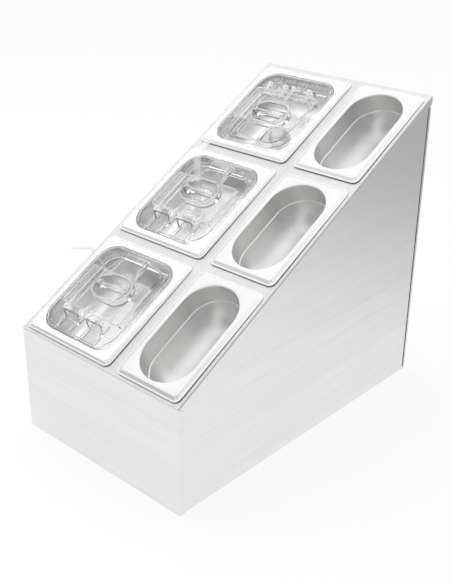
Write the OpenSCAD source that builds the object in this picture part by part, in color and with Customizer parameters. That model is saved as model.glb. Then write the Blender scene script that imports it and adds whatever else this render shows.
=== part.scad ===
// Sloped countertop caddy for condiments: a folded sheet-metal stand, two columns of three
// drop-in pans, three clear flip lids and three clear ladles. Millimetres, +Z up.
// Origin: middle of the fold along the bottom of the front panel, on the surface that the
// stand stands on. The front faces -Y and the stand runs back along +Y.

/* [Stand] */
// Width of the stand across its side flanges
stand_w = 294; // [264:1:330]
// Depth of the stand from front face to back face
stand_d = 492; // [484:1:540]
// Height of the front face
front_h = 152; // [130:1:200]
// Height of the back face
back_h = 426; // [380:1:470]
// Thickness of the folded sheet
sheet_t = 1.2; // [0.8:0.1:1.6]
// Outer radius of every fold
fold_r = 2.4; // [2:0.1:3]
// Width of the front and top flanges that lap over the side panels
side_flange = 9; // [6:0.5:14]
// Width of the back panel's side flanges
rear_flange = 5; // [4:0.5:9]
// Open seam between a side panel and the back panel's flange
rear_seam = 1.5; // [0.8:0.1:3]
// Seam of the mitred corners between the top flanges and those of the front and back
corner_seam = 1; // [0.6:0.1:3]
// Width of the folds that stiffen the bottom edges
foot_flange = 15; // [10:1:25]
// Width of the folds under the deck at its front and back edges
deck_tab = 8; // [5:0.5:9]
// Leg length of the angles inside the rear corners
angle_leg = 22; // [15:1:35]
// Free play between a foot fold and its neighbour
fold_gap = 1; // [0.5:0.1:3]

/* [Layout] */
// Deck margin outside the outermost pan rims, left and right
side_margin = 5.5; // [4.5:0.5:12]
// Gap between the two columns of pans
column_gap = 13; // [10:0.5:20]
// Share of both columns' width that the left column takes
wide_share = 0.6; // [0.58:0.01:0.62]
// Deck margin below the front pans
front_margin = 4; // [3.5:0.5:12]
// Room between the rear pans' walls and the back panel
rear_play = 1; // [0.5:0.25:5]

/* [Pans] */
// Length of every pan along the slope
pan_l = 176; // [170:0.5:178]
// Depth of the pans below the deck
pan_depth = 55; // [50:1:60]
// Thickness of the pan sheet
pan_t = 0.8; // [0.6:0.05:1]
// Width of the rim from its outer edge to the mouth
rim_w = 11; // [10:0.25:12]
// Height of the rim's plateau above the deck
rim_h = 3.2; // [3:0.1:4]
// Width of the flat lip along the rim's outer edge
lip_w = 2.5; // [1.5:0.1:3]
// Height of the lip above the deck
lip_h = 1.2; // [1.1:0.05:1.6]
// Run of the slope from the lip up to the plateau
lip_run = 4.2; // [3:0.1:4.6]
// Outer corner radius of the rims
rim_r = 9; // [8:0.5:14]
// Corner radius of the mouth of a wide pan
wide_mouth_r = 30; // [28:0.5:36]
// Straight run between the mouth's corners at the ends of a slim pan
mouth_flat = 3; // [3:0.5:18]
// Depth of the stacking shoulder below the deck
shoulder_z = 24; // [16:1:28]
// Width of the stacking shoulder
shoulder_w = 1.6; // [1:0.1:2.5]
// Draft angle of the walls below the shoulder
wall_draft = 15; // [10:1:20]
// Inner radius between wall and floor of a wide pan
wide_floor_r = 22; // [16:0.5:23]
// Inner radius between wall and floor of a slim pan, where its walls leave room for it
slim_floor_r = 34; // [20:0.5:36]
// Height by which the front of each pan rides up off the deck
pan_lift = 0.75; // [0.5:0.25:4]
// Play between a pan and its cut-out at the sides and back
cutout_play = 1.5; // [1:0.1:2.5]
// Play between a pan and the front edge of its cut-out, which it leans on
lean_play = 0.3; // [0.2:0.05:0.5]

/* [Lid base] */
// Wall of the moulded lids
lid_t = 2; // [1.6:0.1:2.4]
// Distance of the edge of the lid's flange from the rim's outer edge
lid_edge = 4.7; // [4.2:0.1:7]
// Corner radius of the lid's flange
lid_r = 5; // [3:0.5:8]
// Play between the lid's plug and the mouth of the pan
plug_play = 2; // [1.5:0.1:3]
// Height of the bead that runs round the sunken tray
bead_h = 1; // [0.6:0.1:1.5]
// Depth of the sunken tray's underside below the deck
tray_z = 4; // [3:0.5:8]
// Height of the coaming that carries the flap, above the deck
coaming_h = 5.6; // [5:0.1:7]
// Distance of the coaming's sides from those of the pan's rim
coaming_side = 27; // [25:0.5:31]
// Front face of the coaming, measured from the middle of the pan
coaming_front = 33; // [31:0.5:34]
// Back face of the coaming, measured from the middle of the pan
coaming_back = 64; // [60:0.5:66]
// Radius of the coaming's back corners
coaming_r = 22; // [16:0.5:24]
// Radius of the coaming's front corners
coaming_front_r = 4; // [3:0.5:8]

/* [Flap] */
// Thickness of the flap
flap_t = 2; // [1.6:0.1:2.4]
// How far the flap reaches over the coaming
flap_over = 2; // [1:0.25:2.5]
// Distance of the spoon notches from the middle of the pan
notch_y = 31; // [28:0.5:34]
// Half width of the tongue between the notches
tongue_x = 22; // [18:0.5:24]
// Inner corner radius of the spoon notches
notch_r = 6; // [3:0.5:8]
// Width of the raised border of the flap
border_bead_w = 2; // [1.5:0.1:3]
// Height of the raised border of the flap
border_bead_h = 1.2; // [0.8:0.1:2]
// Corner radius of the flap
flap_r = 3; // [2.5:0.25:5]
// Height of the guard ribs beside the notches
guard_h = 5; // [3:0.25:7]
// Length of the guard ribs
guard_l = 28; // [20:1:30]
// Length of the oval grip
grip_l = 62; // [50:1:70]
// Width of the oval grip
grip_w = 42; // [34:0.5:44]
// Place of the grip behind the middle of the pan
grip_y = 10; // [7:0.5:11]
// Corner radius of the oval grip
grip_r = 20; // [14:0.5:20.5]
// Width of the bar across the grip
grip_bar = 7.5; // [5:0.25:10]
// Height of the grip's collar above the flap
grip_rise = 3.4; // [2:0.1:5]
// Depth of the finger wells below the flap
grip_drop = 6; // [4:0.25:8]

/* [Hinge] */
// Distance of the hinge pin in front of the middle of the pan
pin_y = 42; // [41.5:0.25:44]
// Height of the hinge pin above the deck
pin_h = 10.5; // [10:0.25:12]
// Radius of the hinge pin
pin_r = 2; // [1.5:0.1:2.4]
// Radial play of the hinge pin
pin_play = 0.06; // [0.03:0.01:0.1]
// Radius of the material round a pin
boss_r = 4.2; // [4:0.1:4.6]
// Inner end of each hinge box, from the middle of the lid
box_in = 8; // [7:0.25:10]
// Outer end of each hinge box, from the middle of the lid
box_out = 36.5; // [32:0.25:40]
// Side play between a hinge box and the flap's arms
arm_play = 0.4; // [0.3:0.05:0.8]
// Reach of an arm's fillet along the flap, behind the pin
arm_reach = 27; // [20:1:30]
// Number of ribs in front of the hinge boxes
tray_ribs = 4; // [2:1:6]

/* [Ladles] */
// Width of a ladle's flat handle
handle_w = 12; // [9:0.5:13]
// Thickness of a ladle's handle
handle_t = 2; // [1.6:0.1:2.4]
// Length of the handle from the bowl's centre to its bend
shaft_l = 80; // [76:1:90]
// Length of the handle beyond the bend
tail_l = 22; // [16:1:24]
// Angle of the bend
bend_a = 55; // [45:1:60]
// Inner radius of the bend
bend_r = 8; // [6:0.5:12]
// Outer radius of a ladle's bowl
bowl_r = 16; // [13:0.5:17]
// Wall of a ladle's bowl
bowl_t = 1.6; // [1.2:0.1:2]
// Gap between a resting bowl and the pan's floor
bowl_rest = 0.25; // [0.1:0.05:0.3]
// Distance of the front ladle's handle from the side of the coaming
ladle_side = 8; // [7.5:0.5:12]
// Distance of the middle ladle's handle from the flap's tongue
ladle_gap = 10; // [8.5:0.5:14]

/* [Hidden] */
$fn = 48;
eps = 0.01;
slope_a = atan((back_h - front_h) / stand_d);
slope_l = norm([stand_d, back_h - front_h]);
lift_a = asin(pan_lift / pan_l);
front_y = -foot_flange / 2;
back_y = front_y + stand_d;
// the mitre at the front halves the angle between the deck and the front panel; the back
// flange ends under the deck's side flange
front_mitre = (90 - slope_a) / 2;
back_flange_top = back_h - (side_flange + sheet_t) / cos(slope_a) - rear_flange * tan(slope_a)
    - corner_seam;
left_column = 0;
columns_w = stand_w - 2 * side_margin - column_gap;
wide_pan_w = wide_share * columns_w;
slim_pan_w = columns_w - wide_pan_w;
pan_w = [wide_pan_w, slim_pan_w];
mouth_corner = [wide_mouth_r, (slim_pan_w - mouth_flat) / 2 - rim_w];
column_x = [
    -stand_w / 2 + side_margin + wide_pan_w / 2,
    stand_w / 2 - side_margin - slim_pan_w / 2
];
row_name = ["front", "middle", "rear"];
column_name = ["left", "right"];
// points of a pan's corners, and steps of the fillet at its floor
corner_steps = 6;
fillet_steps = 6;
// rounding of the rim's outer edge and roll of its mouth
edge_r = 0.5;
roll_r = 1.7;
wall_in = rim_w + roll_r + 0.5;
shoulder_fall = 2;
// the wall runs from the shoulder at its draft angle down into the fillet round the floor;
// a slim pan's fillet is limited by the height of that wall and by the width of the floor
lower_h = pan_depth - shoulder_z - shoulder_fall;
fillet_rise = 1 - sin(wall_draft);
slim_room = slim_pan_w / 2 - 3 - wall_in - shoulder_w - lower_h * tan(wall_draft);
floor_r = [
    wide_floor_r,
    min(
        slim_floor_r, (lower_h - 2) / fillet_rise,
        slim_room / (cos(wall_draft) - fillet_rise * tan(wall_draft))
    )
];
// distance in from the rim's edge to the fillet and to the flat of the floor
fillet_in = [
    for (r = floor_r) wall_in + shoulder_w + (lower_h - r * fillet_rise) * tan(wall_draft)
];
floor_in = [for (column = [0, 1]) fillet_in[column] + floor_r[column] * cos(wall_draft)];
// how fast the corners of a wide and of a slim pan tighten as their walls draw in
corner_ease = [0.4, 1];
// deck above the rear pans: as much as keeps the backs of their floors off the back panel
pan_slope = slope_a - lift_a;
back_reach = stand_d - sheet_t - rear_play - pan_t + min([
    for (column = [0, 1])
        floor_in[column] * cos(pan_slope) - floor_r[column]
            - (pan_depth - floor_r[column]) * sin(pan_slope)
]);
rear_margin = slope_l - back_reach / cos(slope_a);
row_pitch = (slope_l - front_margin - rear_margin - pan_l) / 2;
// half sizes of the lid's plug, which drops into the mouth of a wide pan
plug_x = wide_pan_w / 2 - wall_in - plug_play;
plug_y = pan_l / 2 - wall_in - plug_play;
plug_r = wide_mouth_r - roll_r - plug_play;
// half width of the coaming, and the outline of the flap over it
coaming_x = wide_pan_w / 2 - coaming_side;
flap_x = coaming_x + flap_over;
flap_front = coaming_front + flap_over;
flap_back = coaming_back + flap_over;
flap_top = coaming_h + flap_t;
// the arms of the flap stand on both sides of each hinge box
arm_t = lid_t + 0.2;
arm_spans = [
    [box_in - arm_play - arm_t, box_in - arm_play],
    [box_out + arm_play, box_out + arm_play + arm_t]
];
// a ladle's handle crosses the plane of the lid at this height above the deck
cross_h = 8;
// each ladle, in the frame of its pan: where its handle crosses the lid, how far the handle
// runs sideways for each millimetre down, and which way the bent end points
ladle_cross = [
    [ladle_side - coaming_x, 37, cross_h],
    [-tongue_x - ladle_gap, 44, cross_h],
    [(tongue_x + coaming_x) / 2, -46, cross_h]
];
ladle_lean = [[0.663, -0.178], [0, -0.556], [-0.449, 0.804]];
ladle_points = [[-0.66, -0.656, 0.365], [0, 0.99, 0.1], [0.97, 0.2, 0.1]];
lid_turn = [0, 0, 180];

// ---------- helpers ----------

// rectangle between two corners, with one radius at its front and one at its back corners
module round_rect(x0, x1, y0, y1, front_r, back_r) {
    polygon([
        [x0 + front_r, y0], [x1 - front_r, y0], [x1, y0 + front_r], [x1, y1 - back_r],
        [x1 - back_r, y1], [x0 + back_r, y1], [x0, y1 - back_r], [x0, y0 + front_r]
    ]);
    for (x = [x0 + front_r, x1 - front_r]) translate([x, y0 + front_r]) circle(r = front_r);
    for (x = [x0 + back_r, x1 - back_r]) translate([x, y1 - back_r]) circle(r = back_r);
}

// rounded rectangle round the origin, from its half sizes
module centred_rect(half_x, half_y, r) {
    round_rect(-half_x, half_x, -half_y, half_y, r, r);
}

// children drawn in the y-z plane, extruded from x0 to x1
module across(x0, x1) {
    translate([x0, 0, 0]) rotate([90, 0, 90]) linear_extrude(x1 - x0) children();
}

// children drawn in the x-y plane, extruded from z0 to z1
module upright(z0, z1) {
    translate([0, 0, z0]) linear_extrude(z1 - z0) children();
}

// folded channel seen from its end: a web of width w on y = 0, legs up to y = leg
module channel(w, leg) {
    difference() {
        round_rect(-w / 2, w / 2, 0, leg + fold_r, fold_r, fold_r);
        round_rect(-w / 2 + sheet_t, w / 2 - sheet_t, sheet_t, leg + 3 * fold_r,
            fold_r - sheet_t, fold_r - sheet_t);
        translate([-w, leg]) square([2 * w, 2 * fold_r]);
    }
}

// frame of the deck: x across, y up the slope, z out of its face
module on_deck() {
    translate([0, front_y, front_h]) rotate([slope_a, 0, 0]) children();
}

// middle of a pan's place along the slope
function row_y(row) = front_margin + row * row_pitch + pan_l / 2;

// frame of a pan: the middle of the plane its rim stands on, leaning on its back edge
module at_pan(column, row) {
    on_deck()
        translate([column_x[column], row_y(row) + pan_l / 2, 0])
            rotate([-lift_a, 0, 0])
                translate([0, -pan_l / 2, 0]) children();
}

// everything that lies deeper than a distance below the face of the deck
module below_deck(distance) {
    on_deck() translate([-stand_w, -stand_d, -distance - 3 * back_h])
        cube([2 * stand_w, 4 * stand_d, 3 * back_h]);
}

// ---------- stand ----------

// cut-out of the deck under a pan
module cutout(column) {
    wall = rim_w + roll_r - pan_t;
    half_x = pan_w[column] / 2 - wall + cutout_play;
    half_y = pan_l / 2 - wall;
    corner = mouth_corner[column] - roll_r + pan_t;
    upright(-4 * sheet_t, 4 * sheet_t)
        round_rect(-half_x, half_x, -half_y - lean_play, half_y + cutout_play, corner, corner);
}

// everything above a mitre that runs down into the stand from a top corner of its sides;
// the corner is given by its depth and height, the mitre by its angle below the horizontal
module above_mitre(y, z, angle) {
    translate([-stand_w, y, z]) rotate([-angle, 0, 0])
        translate([0, -stand_d, 0]) cube([2 * stand_w, 3 * stand_d, 2 * back_h]);
}

// deck with its side flanges, cut off upright at the front and back and mitred at the corners
module deck_panel() {
    color("silver") intersection() {
        on_deck() difference() {
            translate([0, -fold_r - sheet_t, 0])
                rotate([-90, 0, 0]) linear_extrude(slope_l + 4 * fold_r)
                    channel(stand_w, side_flange + sheet_t);
            for (column = [0:1], row = [0:2])
                translate([column_x[column], row_y(row), 0]) cutout(column);
        }
        translate([-stand_w, front_y, 0]) cube([2 * stand_w, stand_d, 2 * back_h]);
        above_mitre(front_y, front_h, front_mitre);
    }
}

// upright panel at the front or back: its face runs up to the deck, its side flanges end at
// the mitre, and folds stiffen it under the deck and along the bottom
module front_panel() {
    color("lightgray") {
        intersection() {
            translate([0, front_y, 0]) union() {
                difference() {
                    upright(0, front_h) channel(stand_w, side_flange + sheet_t);
                    translate([0, -front_y, -corner_seam])
                        above_mitre(front_y, front_h, front_mitre);
                }
                upright(0, front_h) panel_face();
            }
            below_deck(sheet_t);
        }
        translate([0, front_y, 0]) foot_fold();
        intersection() {
            deck_fold(-sheet_t, deck_tab);
            translate([-stand_w, front_y, 0]) cube([2 * stand_w, stand_d, 2 * back_h]);
        }
    }
}

module back_panel() {
    color("lightgray") {
        intersection() {
            translate([0, back_y, 0]) mirror([0, 1, 0]) union() {
                upright(0, back_flange_top) channel(stand_w, rear_flange);
                upright(0, 2 * back_h) panel_face();
            }
            below_deck(sheet_t);
        }
        translate([0, back_y, 0]) mirror([0, 1, 0]) foot_fold();
        intersection() {
            deck_fold(slope_l - deck_tab, slope_l + sheet_t);
            translate([-stand_w, front_y, 0]) cube([2 * stand_w, stand_d, 2 * back_h]);
        }
    }
}

// face of an upright panel between its corner folds
module panel_face() {
    translate([-stand_w / 2 + fold_r, 0]) square([stand_w - 2 * fold_r, sheet_t]);
}

// fold along the bottom of an upright panel
module foot_fold() {
    upright(0, sheet_t)
        translate([-stand_w / 2 + 2 * sheet_t + fold_gap, 0])
            square([stand_w - 4 * sheet_t - 2 * fold_gap, foot_flange + sheet_t]);
}

// strip against the underside of the deck, between two distances up the slope
module deck_fold(y0, y1) {
    on_deck() upright(-2 * sheet_t, -sheet_t)
        translate([-stand_w / 2 + 2 * sheet_t + fold_gap, y0])
            square([stand_w - 4 * sheet_t - 2 * fold_gap, y1 - y0]);
}

// side panel inside the flanges, with the fold that stiffens its bottom edge
module side_panel(side) {
    face_x = stand_w / 2 - sheet_t;
    y0 = front_y + fold_r;
    y1 = back_y - rear_flange - rear_seam;
    fold_y0 = front_y + sheet_t + foot_flange + fold_gap;
    fold_y1 = back_y - sheet_t - foot_flange - fold_gap;
    color("gray") mirror([side < 0 ? 1 : 0, 0, 0]) {
        intersection() {
            across(face_x - sheet_t, face_x)
                polygon([[y0, 0], [y1, 0], [y1, 2 * back_h], [y0, 2 * back_h]]);
            below_deck(fold_r);
        }
        translate([face_x - sheet_t - foot_flange, fold_y0, 0])
            cube([foot_flange + eps, fold_y1 - fold_y0, sheet_t]);
    }
}

// folded angle that joins a side panel to the back panel behind the open seam
module rear_angle(side) {
    corner_x = stand_w / 2 - 2 * sheet_t;
    corner_y = back_y - sheet_t;
    color("gray") mirror([side < 0 ? 1 : 0, 0, 0]) intersection() {
        upright(sheet_t + fold_gap, 2 * back_h)
            translate([corner_x, corner_y]) mirror([1, 0]) mirror([0, 1]) difference() {
                round_rect(0, 2 * angle_leg, 0, 2 * angle_leg, fold_r, fold_r);
                round_rect(sheet_t, 3 * angle_leg, sheet_t, 3 * angle_leg,
                    fold_r - sheet_t, fold_r - sheet_t);
                translate([angle_leg, -1]) square([2 * angle_leg, 3 * angle_leg]);
                translate([-1, angle_leg]) square([3 * angle_leg, 2 * angle_leg]);
            }
        below_deck(2 * sheet_t + fold_gap);
    }
}

// ---------- pans ----------

// ring of points on a rounded rectangle
function ring(half_x, half_y, r, z) = [
    for (quarter = [0:3], step = [0:corner_steps])
        let (
            angle = 90 * (quarter + step / corner_steps),
            side_x = quarter == 0 || quarter == 3 ? 1 : -1,
            side_y = quarter < 2 ? 1 : -1
        )
        [side_x * (half_x - r) + r * cos(angle), side_y * (half_y - r) + r * sin(angle), z]
];

// closed solid through a stack of rings, capped at both ends
module loft(rings) {
    n = len(rings[0]);
    count = len(rings);
    sides = [
        for (i = [0:count - 2], j = [0:n - 1])
            let (a = i * n + j, b = i * n + (j + 1) % n)
            each [[b, a, b + n], [b + n, a, a + n]]
    ];
    first_cap = [for (j = [0:n - 1]) j];
    last_cap = [for (j = [n - 1:-1:0]) (count - 1) * n + j];
    polyhedron([for (r = rings) each r], concat(sides, [first_cap], [last_cap]));
}

// points of a pan's section: distance in from the rim's edge, height, corner radius.
// The skin runs along the top of the rim and down inside; the back runs below it.
function rim_corner(inset) = rim_r - inset;
function wall_corner(column, inset) =
    mouth_corner[column] - corner_ease[column] * (inset - rim_w);
function floor_arc(column, radius) = [
    for (step = [0:fillet_steps])
        let (
            angle = wall_draft + (90 - wall_draft) * step / fillet_steps,
            inset = floor_in[column] - radius * cos(angle)
        )
        [
            inset,
            floor_r[column] - pan_depth - radius * sin(angle),
            wall_corner(column, fillet_in[column]) - (inset - fillet_in[column])
        ]
];
function pan_skin(column) = concat(
    [
        [edge_r, 0, rim_corner(edge_r)],
        [0, edge_r, rim_r],
        [0, lip_h - edge_r, rim_r],
        [edge_r, lip_h, rim_corner(edge_r)],
        [lip_w, lip_h, rim_corner(lip_w)],
        [lip_w + lip_run, rim_h, rim_corner(lip_w + lip_run)],
        [rim_w, rim_h, mouth_corner[column]],
        [rim_w + 0.7 * roll_r, rim_h - 0.3 * roll_r, wall_corner(column, rim_w + 0.7 * roll_r)],
        [rim_w + roll_r, rim_h - roll_r, wall_corner(column, rim_w + roll_r)],
        [wall_in, -shoulder_z, wall_corner(column, wall_in)],
        [wall_in + shoulder_w, -shoulder_z - shoulder_fall,
            wall_corner(column, wall_in + shoulder_w)]
    ],
    floor_arc(column, floor_r[column])
);
function pan_back(column) = [
    [pan_t, 0, rim_corner(pan_t)],
    [pan_t, lip_h - pan_t, rim_corner(pan_t)],
    [lip_w + pan_t, lip_h - pan_t, rim_corner(lip_w + pan_t)],
    [lip_w + lip_run + pan_t / 2, rim_h - pan_t, rim_corner(lip_w + lip_run + pan_t / 2)],
    [rim_w, rim_h - pan_t, mouth_corner[column]],
    [rim_w + roll_r - pan_t, rim_h - roll_r, wall_corner(column, rim_w + roll_r - pan_t)],
    [wall_in - pan_t, -shoulder_z - pan_t / 2, wall_corner(column, wall_in - pan_t)],
    [wall_in + shoulder_w - pan_t, -shoulder_z - shoulder_fall - pan_t / 2,
        wall_corner(column, wall_in + shoulder_w - pan_t)]
];

// drop-in pan in its own frame
module pan(column) {
    under = concat(pan_back(column), floor_arc(column, floor_r[column] + pan_t));
    last = len(under) - 1;
    section = concat([for (i = [last:-1:0]) under[i]], pan_skin(column));
    color("whitesmoke") loft([
        for (p = section) ring(pan_w[column] / 2 - p[0], pan_l / 2 - p[0], p[2], p[1])
    ]);
}

// ---------- lids ----------

module coaming_outline(inset) {
    round_rect(-coaming_x + inset, coaming_x - inset, -coaming_front + inset,
        coaming_back - inset, coaming_front_r - inset, coaming_r - inset);
}

// side of a hinge box: a boss round the pin on a foot that stands in the tray
module box_side() {
    difference() {
        union() {
            translate([-pin_y, pin_h]) circle(r = boss_r);
            polygon([
                [-pin_y - 10, -tray_z + lid_t / 2], [-pin_y + 5, -tray_z + lid_t / 2],
                [-pin_y + boss_r * cos(20), pin_h - boss_r * sin(20)],
                [-pin_y - boss_r * cos(20), pin_h + boss_r * sin(20)]
            ]);
        }
        translate([-pin_y, pin_h]) circle(r = pin_r + pin_play);
    }
}

// front wall of a hinge box, in front of the pin
module box_front() {
    polygon([
        [-pin_y - 10, -tray_z + lid_t / 2], [-pin_y - 8, -tray_z + lid_t / 2],
        [-pin_y - boss_r - 0.4, pin_h + 2], [-pin_y - boss_r - 2.2, pin_h + 2]
    ]);
}

module lid_base() {
    tray_top = lid_t - tray_z;
    bead_top = rim_h + lid_t + bead_h;
    color("aliceblue", 0.5) {
        difference() {
            union() {
                upright(rim_h, rim_h + lid_t)
                    centred_rect(wide_pan_w / 2 - lid_edge, pan_l / 2 - lid_edge, lid_r);
                upright(-tray_z, bead_top) centred_rect(plug_x, plug_y, plug_r);
            }
            upright(tray_top, bead_top + 1)
                centred_rect(plug_x - lid_t, plug_y - lid_t, plug_r - lid_t);
            upright(-tray_z - 1, bead_top) coaming_outline(lid_t);
        }
        upright(-tray_z, coaming_h) difference() {
            coaming_outline(0);
            coaming_outline(lid_t);
        }
        for (side = [0, 1]) mirror([side, 0, 0]) {
            across(box_in, box_in + lid_t) box_side();
            across(box_out - lid_t, box_out) box_side();
            across(box_in + eps, box_out - eps) box_front();
        }
        rib_step = 2 * box_out / (tray_ribs - 1);
        for (i = [0:tray_ribs - 1])
            translate([-box_out + i * rib_step - lid_t / 2, -plug_y + lid_t / 2, tray_top - eps])
                cube([lid_t, plug_y - pin_y - 9.5 - lid_t / 2, rim_h - tray_top]);
    }
}

// outline of the flap: a wide part over the hinge end and a tongue between the notches
module flap_outline(inset) {
    round_rect(-flap_x + inset, flap_x - inset, -flap_front + inset, notch_y - inset,
        flap_r - inset, flap_r - inset);
    round_rect(-tongue_x + inset, tongue_x - inset, 0, flap_back - inset,
        flap_r - inset, flap_r - inset);
    for (side = [0, 1]) mirror([side, 0])
        translate([tongue_x - inset, notch_y - inset]) difference() {
            translate([-1, -1]) square(notch_r + inset + 1);
            translate([notch_r + inset, notch_r + inset]) circle(r = notch_r + inset);
        }
}

module grip_outline(inset) {
    translate([0, grip_y])
        centred_rect(grip_l / 2 - inset, grip_w / 2 - inset, grip_r - inset);
}

// arm of the flap: boss round the pin and a curved fillet that dies out along the flap
module flap_arm() {
    top = pin_h + 0.6 * boss_r;
    translate([-pin_y, pin_h]) circle(r = boss_r);
    difference() {
        polygon([
            [-pin_y, pin_h - boss_r], [-flap_front + 1, coaming_h], [-flap_front + 3, flap_top - eps],
            [-pin_y + arm_reach, flap_top - eps], [-pin_y + arm_reach, flap_top + 0.4],
            [-pin_y + 2, top], [-pin_y, top]
        ]);
        translate([-pin_y + arm_reach, flap_top + 0.4 + 2 * arm_reach])
            circle(r = 2 * arm_reach, $fn = 96);
    }
}

module lid_flap() {
    collar_top = flap_top + grip_rise;
    well_floor = coaming_h - grip_drop;
    color("aliceblue", 0.5) {
        difference() {
            union() {
                upright(coaming_h, flap_top + border_bead_h) flap_outline(0);
                upright(well_floor - lid_t, collar_top) grip_outline(0);
            }
            difference() {
                upright(flap_top, collar_top + 1) flap_outline(border_bead_w);
                upright(flap_top - 1, collar_top + 2) grip_outline(0);
            }
            difference() {
                upright(well_floor, collar_top + 1) grip_outline(lid_t);
                translate([-grip_l, grip_y - grip_bar / 2, well_floor - 1])
                    cube([2 * grip_l, grip_bar, collar_top - well_floor + 1]);
            }
            translate([lid_t + grip_bar / 2 - grip_l / 2, grip_y - grip_bar / 2 + lid_t,
                well_floor - lid_t - 1])
                cube([grip_l - 2 * lid_t - grip_bar, grip_bar - 2 * lid_t,
                    collar_top - well_floor + 1]);
        }
        for (side = [-1, 1]) translate([side * (tongue_x - lid_t / 2) - lid_t / 2, 0, 0])
            across(0, lid_t) polygon([
                [flap_back - guard_l, flap_top - eps], [flap_back - 1, flap_top - eps],
                [flap_back - 1, flap_top + guard_h], [flap_back - guard_l + 4, flap_top + guard_h]
            ]);
        for (side = [0, 1]) mirror([side, 0, 0]) {
            for (span = arm_spans) across(span[0], span[1]) flap_arm();
            across(arm_spans[0][1] - eps, box_in + lid_t)
                translate([-pin_y, pin_h]) circle(r = pin_r);
            across(box_out - lid_t, arm_spans[1][0] + eps)
                translate([-pin_y, pin_h]) circle(r = pin_r);
        }
    }
}

// ---------- ladles ----------

function unit(v) = v / norm(v);
function handle_dir(row) = unit([-ladle_lean[row][0], -ladle_lean[row][1], 1]);
// side of the handle to which its end bends, square to the handle
function bend_dir(row) =
    let (a = handle_dir(row), p = ladle_points[row])
    unit(p - (p * a) * a);
bowl_out = bowl_r - bowl_t / 2;
// distance along the handle from the crossing down to the middle of the bowl, so that the
// bowl's underside lies just above the floor
function bowl_drop(row) =
    (cross_h + pan_depth - bowl_rest - bowl_r - bowl_out * bend_dir(row)[2])
    / handle_dir(row)[2];

// outline of the handle from its side: straight up from the bowl, round the bend, then the
// bent end, drawn as one strip of the handle's thickness
bend_steps = 10;
function bend_point(radius, step) =
    let (angle = 180 - bend_a * step / bend_steps)
    [bend_r + handle_t / 2 + radius * cos(angle), shaft_l + radius * sin(angle)];
function tail_point(radius) = bend_point(radius, bend_steps) + tail_l * [sin(bend_a), cos(bend_a)];
handle_outline = concat(
    [[-handle_t / 2, -bowl_r / 5]],
    [for (step = [0:bend_steps]) bend_point(bend_r + handle_t, step)],
    [tail_point(bend_r + handle_t), tail_point(bend_r)],
    [for (step = [bend_steps:-1:0]) bend_point(bend_r, step)],
    [[handle_t / 2, -bowl_r / 5]]
);

tail_end_r = 0.56 * handle_w;

// ladle with its handle along +z from the bowl's middle, its bowl on the -y side and its
// end bent towards +y and rounded
module ladle_shape() {
    translate([0, -bowl_out, 0]) rotate_extrude() difference() {
        intersection() {
            circle(r = bowl_r);
            translate([0, -2 * bowl_r]) square(2 * bowl_r);
        }
        circle(r = bowl_r - bowl_t);
    }
    difference() {
        across(-handle_w / 2, handle_w / 2) polygon(handle_outline);
        translate([0, bend_r + handle_t / 2, shaft_l]) rotate([-bend_a, 0, 0])
            translate([0, -bend_r + handle_t, tail_l - tail_end_r]) rotate([90, 0, 0])
                linear_extrude(3 * handle_t) difference() {
                    translate([-handle_w, 0]) square(2 * handle_w);
                    circle(r = tail_end_r);
                }
    }
}

module ladle(row) {
    z_dir = handle_dir(row);
    y_dir = bend_dir(row);
    x_dir = cross(y_dir, z_dir);
    base = ladle_cross[row] - bowl_drop(row) * z_dir;
    color("aliceblue", 0.5) multmatrix([
        [x_dir[0], y_dir[0], z_dir[0], base[0]],
        [x_dir[1], y_dir[1], z_dir[1], base[1]],
        [x_dir[2], y_dir[2], z_dir[2], base[2]],
        [0, 0, 0, 1]
    ]) ladle_shape();
}

// ---------- assembly ----------

deck_panel();
front_panel();
back_panel();
side_panel(-1);  // left_side_panel
side_panel(1);  // right_side_panel
rear_angle(-1);  // left_rear_angle
rear_angle(1);  // right_rear_angle
for (column = [0:1], row = [0:2])
    at_pan(column, row) pan(column);
for (row = [0:2]) {
    at_pan(left_column, row) rotate([0, 0, lid_turn[row]]) lid_base();
    at_pan(left_column, row) rotate([0, 0, lid_turn[row]]) lid_flap();
    at_pan(left_column, row) ladle(row);
}
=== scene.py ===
import bpy, bmesh, math
from mathutils import Matrix, Vector


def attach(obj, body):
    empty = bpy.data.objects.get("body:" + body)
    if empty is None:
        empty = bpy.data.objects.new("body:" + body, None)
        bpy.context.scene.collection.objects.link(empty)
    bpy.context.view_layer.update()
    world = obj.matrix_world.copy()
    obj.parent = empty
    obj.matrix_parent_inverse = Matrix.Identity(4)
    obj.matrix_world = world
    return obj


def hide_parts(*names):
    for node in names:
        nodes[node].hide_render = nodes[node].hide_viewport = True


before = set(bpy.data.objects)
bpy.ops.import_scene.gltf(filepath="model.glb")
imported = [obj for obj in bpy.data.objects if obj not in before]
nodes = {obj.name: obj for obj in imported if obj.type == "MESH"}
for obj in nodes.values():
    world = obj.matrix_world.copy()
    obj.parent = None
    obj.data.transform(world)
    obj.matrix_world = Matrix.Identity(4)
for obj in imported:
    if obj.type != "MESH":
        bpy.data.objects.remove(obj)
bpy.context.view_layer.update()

scene = bpy.context.scene

# ---------- sizes, as in the solids; millimetres ----------

STAND_D, FRONT_H, BACK_H, FRONT_Y = 492, 152, 426, -7.5
# margin of deck below the front pans, and distance from one row of pans to the next
FRONT_MARGIN, PITCH = 4, 187.922
# each column of pans: name, middle, width, corner radius of the mouth, how fast that radius
# tightens down the wall, radius between wall and floor
COLUMNS = (("left", -60.5, 162, 30, 0.4, 22), ("right", 87.5, 108, 41.5, 1.0, 34))
# length of a pan, thickness of its sheet, height by which its front rides up off the deck
PAN_L, PAN_T, PAN_LIFT = 176, 0.8, 0.75
RIM_W, RIM_H, RIM_R = 11, 3.2, 9
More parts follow.
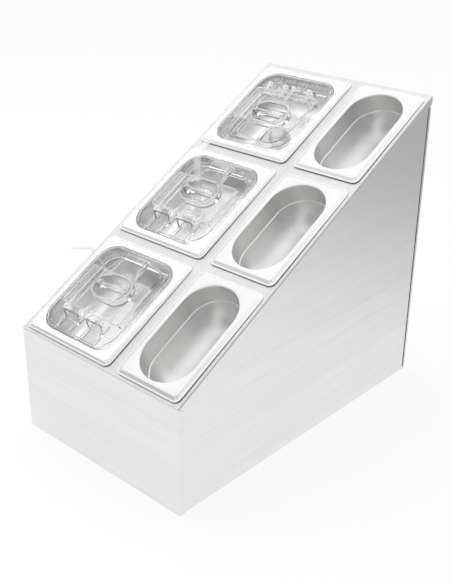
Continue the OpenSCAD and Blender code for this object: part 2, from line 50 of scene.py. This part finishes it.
# flat lip along the rim's outer edge, and run of the slope from it up to the plateau
LIP_W, LIP_H, LIP_RUN = 2.5, 1.2, 4.2
# rounding of the rim's outer edge, radius of the turn from the rim into the wall
EDGE_R, TURN_R = 0.5, 1.7
WALL_IN, DEPTH, DRAFT = 13.2, 55, math.radians(15)
# step in the wall; it falls less here than in the solids, so that it shows as a bright line
STEP_Z, STEP_W, STEP_FALL = 24, 1.6, 0.7
# dents in the corners of the rim: distances in from its sides and ends, depth, radius
DENT_X, DENT_Y, DENT_DEEP, DENT_R = 6.2, 6.8, 1.1, 1.6
# height of a pan's lowest edge above the deck
CLEAR = 0.02

# slope of the deck, and how much flatter the pans lie on it; radians
SLOPE = math.atan2(BACK_H - FRONT_H, STAND_D)
LEAN = math.asin(PAN_LIFT / PAN_L)


# ---------- node materials ----------

class Tree:
    """A node tree and short calls to add and join its nodes."""

    def __init__(self, tree):
        self.tree = tree

    def feed(self, socket, value):
        if isinstance(value, bpy.types.NodeSocket):
            self.tree.links.new(value, socket)
        else:
            socket.default_value = value

    def fill(self, n, **values):
        for key, value in values.items():
            label = key.replace("_", " ")
            if label in n.inputs:
                self.feed(n.inputs[label], value)
            else:
                setattr(n, key, value)
        return n

    def node(self, kind, **values):
        return self.fill(self.tree.nodes.new(kind), **values)

    def calc(self, operation, a, b):
        n = self.node("ShaderNodeMath", operation=operation)
        self.feed(n.inputs[0], a)
        self.feed(n.inputs[1], b)
        return n.outputs[0]

    def dot(self, vector, aim):
        n = self.node("ShaderNodeVectorMath", operation="DOT_PRODUCT")
        self.feed(n.inputs[0], vector)
        self.feed(n.inputs[1], aim)
        return n.outputs["Value"]

    def ramp(self, value, low, high, a=0.35, b=0.65, kind="LINEAR"):
        n = self.node("ShaderNodeMapRange", interpolation_type=kind, Value=value)
        return self.fill(n, From_Min=a, From_Max=b, To_Min=low, To_Max=high).outputs[0]


class Mat(Tree):
    """A Principled material; its noises are laid out in the object's own metres."""

    def __init__(self, name, **values):
        self.mat = bpy.data.materials.new(name)
        self.mat.use_nodes = True
        super().__init__(self.mat.node_tree)
        self.shader = self.tree.nodes["Principled BSDF"]
        self.fill(self.shader, **values)

    def noise(self, grain, detail, rough=0.55):
        place = self.node("ShaderNodeTexCoord").outputs["Object"]
        place = self.node("ShaderNodeMapping", Vector=place, Scale=grain).outputs[0]
        return self.node("ShaderNodeTexNoise", Vector=place, Scale=1.0, Detail=detail,
                         Roughness=rough).outputs[0]

    def mix(self, factor, a, b):
        n = self.node("ShaderNodeMix", data_type="RGBA")
        self.feed(n.inputs[0], factor)
        self.feed(n.inputs[6], (*a, 1))
        self.feed(n.inputs[7], (*b, 1))
        return n.outputs[2]

    def bump(self, height, strength, distance, **under):
        return self.node("ShaderNodeBump", Height=height, Strength=strength, Distance=distance,
                         **under).outputs[0]


def darker(tone, share):
    return tuple(t * share for t in tone)


def brushed(name, grain, tone, rough):
    """Stainless sheet brushed along the axis whose grain number is small."""
    m = Mat(name, Metallic=1.0)
    fine = m.noise(grain, 4.0, 0.6)
    broad = m.noise(tuple(g / 14 for g in grain), 2.0)
    wave = m.bump(m.noise((5, 5, 5), 2.0), 0.25, 0.002)
    m.fill(m.shader, Base_Color=m.mix(m.ramp(fine, 0, 1), darker(tone, 0.93), tone),
           Roughness=m.ramp(broad, rough - 0.05, rough + 0.06),
           Normal=m.bump(fine, 0.07, 0.0001, Normal=wave))
    return m.mat


def drawn(name, tone, rough):
    """Deep-drawn pan steel: satin, with faint flow marks."""
    m = Mat(name, Metallic=1.0)
    flow = m.noise((18, 18, 60), 3.0)
    m.fill(m.shader, Base_Color=m.mix(m.ramp(flow, 0, 1), darker(tone, 0.96), tone),
           Roughness=m.ramp(flow, rough - 0.04, rough + 0.05),
           Normal=m.bump(m.noise((900, 900, 900), 2.0), 0.08, 0.0001))
    return m.mat


def plastic(name, tone, rough, spread, glow, **values):
    """Clear moulded plastic with a slightly wavy skin; glow is painted light, an emission that
    stands in for the light the plastic scatters from its bright surroundings.
    """
    m = Mat(name, Emission_Color=(1, 1, 1, 1), Emission_Strength=glow, **values)
    wave = m.noise((30, 30, 30), 2.0)
    m.fill(m.shader, Base_Color=m.mix(wave, tone, (1, 1, 1)),
           Roughness=m.ramp(m.noise((240, 240, 240), 2.0), rough, rough + spread),
           Normal=m.bump(wave, 0.06, 0.0006))
    return m


def bending(name, tone, rough, glow):
    """Plastic that bends what is seen through it."""
    return plastic(name, tone, rough, 0.05, glow, IOR=1.35, Transmission_Weight=1.0).mat


def thin(name, tone, rough, glow, face_on, side_on):
    """Thin plastic, seen through face on and more covered from the side; both are given as
    cover, and the extra cover from the side is a painted reflection, standing in for the sheen
    that clear plastic shows at a slant.
    """
    m = plastic(name, tone, rough, 0.08, glow, IOR=1.5)
    facing = m.node("ShaderNodeLayerWeight", Blend=0.35).outputs["Facing"]
    m.fill(m.shader, Alpha=m.ramp(facing, face_on, side_on, 0.0, 1.0))
    return m.mat


# the deck's steel is a darker copy of the panels' steel: painted shade for the greyer look the
# deck has under this light
steel_deck_shaded = brushed("steel_deck_shaded", (1400, 12, 1400), (0.72, 0.72, 0.715), 0.46)
steel_front = brushed("steel_front", (12, 1400, 1400), (0.88, 0.88, 0.875), 0.36)
steel_side = brushed("steel_side", (1400, 12, 1400), (0.88, 0.88, 0.875), 0.34)
steel_pan = drawn("steel_pan", (0.80, 0.80, 0.795), 0.42)
# the lids' glow numbers are painted light: a faint glow over the clear sheet, and a stronger
# one that is a painted highlight on the edges
lid_clear = bending("lid_clear", (0.93, 0.935, 0.935), 0.02, 0.025)
lid_edge = thin("lid_edge", (0.98, 0.98, 0.98), 0.15, 0.15, 0.85, 0.95)
# the ladles' clear plastic is given grey, darker on its rounded edges: painted shade for the
# grey lines that clear plastic shows against white
ladle_clear = thin("ladle_clear", (0.74, 0.745, 0.745), 0.06, 0, 0.28, 0.75)
ladle_edge_shade = thin("ladle_edge_shade", (0.66, 0.665, 0.665), 0.12, 0, 0.8, 0.95)


# ---------- materials and edges of the solids that are kept ----------

# up from the lids, square to the pans' rims; edges lower than LOW_EDGE metres get the
# near-white, glowing edge material, a painted highlight for the bright lines that clear plastic
# shows along its edges
LID_UP = Matrix.Rotation(SLOPE - LEAN, 3, "X") @ Vector((0, 0, 1))
LOW_EDGE = 0.0036


def bevel(obj, name, width, segments, angle, material=-1):
    """Rounds the edges sharper than an angle; material is the slot of the new faces."""
    rounding = obj.modifiers.new(name, "BEVEL")
    rounding.width = width
    rounding.segments = segments
    rounding.material = material
    rounding.limit_method = "ANGLE"
    rounding.angle_limit = math.radians(angle)
    rounding.harden_normals = True


def paint(obj, materials, takes_second=None):
    """Gives an object its materials; takes_second picks the faces that get the second one."""
    mesh = obj.data
    mesh.materials.clear()
    for material in materials:
        mesh.materials.append(material)
    turn = obj.matrix_world.to_3x3()
    for face in mesh.polygons:
        corners = [turn @ mesh.vertices[v].co for v in face.vertices]
        second = takes_second and takes_second(turn @ face.normal, corners)
        face.material_index = int(bool(second))


def low_edge(normal, corners):
    heights = [corner.dot(LID_UP) for corner in corners]
    return abs(normal.dot(LID_UP)) < 0.4 and max(heights) - min(heights) < LOW_EDGE


# the deck's upright flanges face sideways like the side panel, so they get the side's lighter
# steel: a lit copy of the deck's steel
def side_flange(normal, corners):
    return abs(normal.x) > 0.9


for name, obj in nodes.items():
    if name.endswith("_pan"):
        continue
    if name.endswith(("_lid_base", "_lid_flap")):
        # the lids' narrow edges and rounded bevels get the white, glowing edge material: a
        # painted highlight
        paint(obj, (lid_clear, lid_edge), low_edge)
        bevel(obj, "edge", 0.0009, 2, 40, 1)
    elif name.endswith("_ladle"):
        paint(obj, (ladle_clear, ladle_edge_shade))
        bevel(obj, "edge", 0.0009, 2, 40, 1)
    else:
        if name == "deck_panel":
            paint(obj, (steel_deck_shaded, steel_side), side_flange)
        elif "side" in name or "angle" in name:
            paint(obj, (steel_side,))
        else:
            paint(obj, (steel_front,))
        bevel(obj, "fold", 0.0006, 3, 25)


# ---------- pans ----------

# how finely each corner of a pan, each rounded point of its section and its floor are drawn
CORNER_STEPS, EASE_STEPS, FLOOR_STEPS, UNDER_STEPS = 14, 4, 14, 9


def wall_r(mouth, ease, inset):
    return mouth - ease * (inset - RIM_W)


def floor_arc(mouth, ease, fillet, radius, steps):
    """The turn from wall to floor, as points: distance in, height, corner radius, reach."""
    end_z = DEPTH - fillet * (1 - math.sin(DRAFT))
    start = WALL_IN + STEP_W + (end_z - STEP_Z - STEP_FALL) * math.tan(DRAFT)
    middle = start + fillet * math.cos(DRAFT)
    points = []
    for i in range(steps + 1):
        angle = DRAFT + (math.pi / 2 - DRAFT) * i / steps
        inset = middle - radius * math.cos(angle)
        corner = wall_r(mouth, ease, start) - (inset - start)
        points.append((inset, fillet - DEPTH - radius * math.sin(angle), corner, 0))
    return points


def rounded(points):
    """Path through points, its corners eased over each point's own reach."""
    path = [points[0][:3]]
    for before, here, after in zip(points, points[1:], points[2:]):
        reach = here[3]
        if reach == 0:
            path.append(here[:3])
            continue
        a, b, c = (Vector(p[:3]) for p in (before, here, after))
        p = b + (a - b) * min(0.45, reach / max((a - b).xy.length, 1e-6))
        q = b + (c - b) * min(0.45, reach / max((c - b).xy.length, 1e-6))
        for i in range(EASE_STEPS + 1):
            t = i / EASE_STEPS
            path.append(tuple(p * (1 - t) ** 2 + b * 2 * t * (1 - t) + q * t * t))
    path.append(points[-1][:3])
    return path


def pan_path(mouth, ease, fillet):
    """Section of a pan from the middle of its underside, over the rim, to its floor:
    distance in from the rim's edge, height, corner radius."""
    def rim(inset, z, reach):
        return inset, z, RIM_R - inset, reach

    def wall(inset, z, reach):
        return inset, z, wall_r(mouth, ease, inset), reach

    half = PAN_T / 2
    top = LIP_W + LIP_RUN
    under = [
        rim(PAN_T, 0.15, 0),
        rim(PAN_T, LIP_H - PAN_T, 0.1),
        rim(LIP_W + PAN_T, LIP_H - PAN_T, 0.3),
        rim(top + half, RIM_H - PAN_T, 0.4),
        (RIM_W, RIM_H - PAN_T, mouth, 0.8),
        wall(RIM_W + TURN_R - PAN_T, RIM_H - TURN_R, 0.5),
        wall(WALL_IN - PAN_T, -STEP_Z - half, 1),
        wall(WALL_IN + PAN_T, -STEP_Z - 3 * PAN_T, 1)
    ] + floor_arc(mouth, ease, fillet, fillet + PAN_T, UNDER_STEPS)
    skin = [
        rim(EDGE_R, CLEAR, 0),
        rim(0, 0.45, 0.2),
        rim(0, 0.75, 0.2),
        rim(EDGE_R, LIP_H, 0.3),
        rim(LIP_W, LIP_H, 0.8),
        rim(top, RIM_H, 0.9),
        ((top + RIM_W) / 2, RIM_H, (RIM_R - top + mouth) / 2, 0),
        (RIM_W - 0.3, RIM_H, mouth, 0),
        wall(RIM_W + 0.7 * TURN_R, RIM_H - 0.3 * TURN_R, 0.6),
        wall(RIM_W + TURN_R, RIM_H - TURN_R, 0.5),
        wall(WALL_IN, -STEP_Z, 0.4),
        wall(WALL_IN + STEP_W, -STEP_Z - STEP_FALL, 0.4)
    ] + floor_arc(mouth, ease, fillet, fillet, FLOOR_STEPS)
    return rounded(under)[::-1] + rounded(skin)


def pan_points(rings, width):
    """The rings of a pan, each a rectangle with round corners, from four quarter turns."""
    points = []
    for inset, z, corner in rings:
        half_x, half_y = width / 2 - inset, PAN_L / 2 - inset
        for quarter in range(4):
            sx = 1 if quarter in (0, 3) else -1
            sy = 1 if quarter < 2 else -1
            for i in range(CORNER_STEPS + 1):
                angle = math.radians(90 * (quarter + i / CORNER_STEPS))
                x = sx * (half_x - corner) + corner * math.cos(angle)
                y = sy * (half_y - corner) + corner * math.sin(angle)
                # small round dent where the draw gathers the sheet at the rim's corners
                off = math.hypot(abs(x) - width / 2 + DENT_X, abs(y) - PAN_L / 2 + DENT_Y)
                dent = DENT_DEEP * math.exp(-(off / DENT_R) ** 2)
                points.append((x, y, max(z - dent, CLEAR) if z > CLEAR else z))
    return points


def pan_mesh(name, column, row, material):
    middle_x, width, mouth, ease, fillet = column
    rings = pan_path(mouth, ease, fillet)
    n = 4 * (CORNER_STEPS + 1)
    last = (len(rings) - 1) * n
    faces = []
    for r in range(0, last, n):
        for j in range(n):
            k = (j + 1) % n
            faces.append((r + k, r + j, r + n + j, r + n + k))
    faces.append(tuple(range(n)))
    faces.append(tuple(last + j for j in reversed(range(n))))
    mesh = bpy.data.meshes.new(name)
    mesh.from_pydata(pan_points(rings, width), [], faces)
    mesh.validate()
    bm = bmesh.new()
    bm.from_mesh(mesh)
    bmesh.ops.recalc_face_normals(bm, faces=bm.faces)
    for face in bm.faces:
        face.smooth = True
    bm.to_mesh(mesh)
    bm.free()
    # the pan is leant about its rear edge, so that its front rides up off the deck
    rear_edge = FRONT_MARGIN + row * PITCH + PAN_L
    mesh.transform(
        Matrix.Scale(0.001, 4) @ Matrix.Translation((0, FRONT_Y, FRONT_H))
        @ Matrix.Rotation(SLOPE, 4, "X") @ Matrix.Translation((middle_x, rear_edge, 0))
        @ Matrix.Rotation(-LEAN, 4, "X") @ Matrix.Translation((0, -PAN_L / 2, 0))
    )
    mesh.materials.append(material)
    obj = bpy.data.objects.new(name, mesh)
    scene.collection.objects.link(obj)
    return obj


for side, *column in COLUMNS:
    for row, row_name in enumerate(("front", "middle", "rear")):
        node = f"{side}_{row_name}_pan"
        pan = pan_mesh(f"{node}_sheet", column, row, steel_pan)
        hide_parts(node)
        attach(pan, node)


# ---------- light ----------

# What the metal mirrors: a bright softbox high behind on the left, an upright strip in front
# and a dimmer room. A plain level lights everything else, and the backdrop is white.
ROOM, HIGH_BOX, FRONT_STRIP, FILL = 0.28, 1.34, 0.95, 0.8

world = bpy.data.worlds.new("studio")
scene.world = world
world.use_nodes = True
sky = Tree(world.node_tree)
toward = sky.node("ShaderNodeTexCoord").outputs["Generated"]
path = sky.node("ShaderNodeLightPath").outputs


def rise(aim, low, high, start, full):
    """Level that changes from low to high towards a direction, between two cosines."""
    cosine = sky.dot(toward, Vector(aim).normalized())
    return sky.ramp(cosine, low, high, start, full, "SMOOTHSTEP")


box = rise((-0.40, 0.50, 0.77), ROOM, HIGH_BOX, -0.15, 0.88)
strip = rise((0.38, -0.92, 0.25), 0.0, FRONT_STRIP, 0.0, 0.45)
for beside in ((0.92, 0.38, 0), (-0.92, -0.38, 0)):
    strip = sky.calc("MULTIPLY", strip, rise(beside, 1, 0, 0.15, 0.5))
glossy = path["Is Glossy Ray"]
mirrored = sky.calc("MULTIPLY", glossy, sky.calc("MAXIMUM", box, strip))
lighting = sky.calc("MULTIPLY", sky.calc("SUBTRACT", 1.0, glossy), FILL)
seen = sky.calc("MAXIMUM", path["Is Camera Ray"], path["Is Transmission Ray"])
level = sky.calc("MAXIMUM", sky.calc("ADD", mirrored, lighting), seen)
sky.fill(world.node_tree.nodes["Background"], Color=(1, 1, 1, 1), Strength=level)


def lamp(name, place, target, size, watts):
    """Square area lamp, aimed at a target; metal doesn't mirror it."""
    data = bpy.data.lights.new(name, "AREA")
    data.size = size
    data.energy = watts
    obj = bpy.data.objects.new(name, data)
    scene.collection.objects.link(obj)
    obj.location = place
    obj.rotation_euler = (Vector(target) - Vector(place)).to_track_quat("-Z", "Y").to_euler()
    obj.visible_glossy = False


lamp("lamp_top", (-0.6, 0.2, 1.9), (0, 0.25, 0.2), 1.6, 12)
lamp("lamp_left", (-1.8, -0.9, 1.2), (0, 0.2, 0.2), 1.2, 8)


# ---------- floor ----------

# White to the eye, apart from its share of real shadow. In the metal it is bright near the
# object and greyer away behind it, where the light falls off; metres along FLOOR_FALL.
FLOOR_SIZE, FLOOR_Z, FLOOR_GLOW = 8, -0.0005, 0.86
FLOOR_FALL, FLOOR_NEAR, FLOOR_FAR, FLOOR_DIM = (0.15, 1, 0), 0.28, 1.6, 0.42

bpy.ops.mesh.primitive_plane_add(size=FLOOR_SIZE, location=(0, 0, FLOOR_Z))
floor = bpy.context.object
floor.name = "floor"
m = Mat("floor_white", Roughness=0.8, Base_Color=(0.92, 0.92, 0.92, 1))
away = m.dot(m.node("ShaderNodeTexCoord").outputs["Object"], FLOOR_FALL)
falloff = m.ramp(away, 1.0, FLOOR_DIM, FLOOR_NEAR, FLOOR_FAR, "SMOOTHSTEP")
path = m.node("ShaderNodeLightPath").outputs
seen = m.calc("MAXIMUM", path["Is Camera Ray"], path["Is Transmission Ray"])
mirrored = path["Is Glossy Ray"]
glow = m.node("ShaderNodeEmission", Color=(1, 1, 1, 1),
              Strength=m.calc("ADD", m.calc("MULTIPLY", mirrored, falloff), seen))
blend = m.node("ShaderNodeMixShader")
m.feed(blend.inputs[0], m.calc("MULTIPLY", m.calc("MAXIMUM", seen, mirrored), FLOOR_GLOW))
m.feed(blend.inputs[1], m.shader.outputs[0])
m.feed(blend.inputs[2], glow.outputs[0])
m.fill(m.tree.nodes["Material Output"], Surface=blend.outputs[0])
floor.data.materials.append(m.mat)


# ---------- camera, fitted to the corners of the stand and of the pans' rims ----------

LENS, SENSOR, PLACE = 58.1307, 36, (0.798298, -0.642569, 0.73928)
AZIMUTH, ELEVATION, ROLL = 0.739781, -0.448954, 0.010021

cam_data = bpy.data.cameras.new("camera")
camera = bpy.data.objects.new("camera", cam_data)
scene.collection.objects.link(camera)
scene.camera = camera
cam_data.sensor_width = SENSOR
cam_data.sensor_fit = "AUTO"
cam_data.lens = LENS
camera.location = PLACE
level_look = Vector((-math.sin(AZIMUTH), math.cos(AZIMUTH), 0))
look = level_look * math.cos(ELEVATION) + Vector((0, 0, math.sin(ELEVATION)))
right = look.cross(Vector((0, 0, 1))).normalized()
up = right.cross(look)
rolled_right = right * math.cos(ROLL) + up * math.sin(ROLL)
rolled_up = up * math.cos(ROLL) - right * math.sin(ROLL)
camera.rotation_mode = "QUATERNION"
axes = Matrix((rolled_right, rolled_up, -look))
camera.rotation_quaternion = axes.transposed().to_quaternion()

scene.view_settings.view_transform = "Standard"
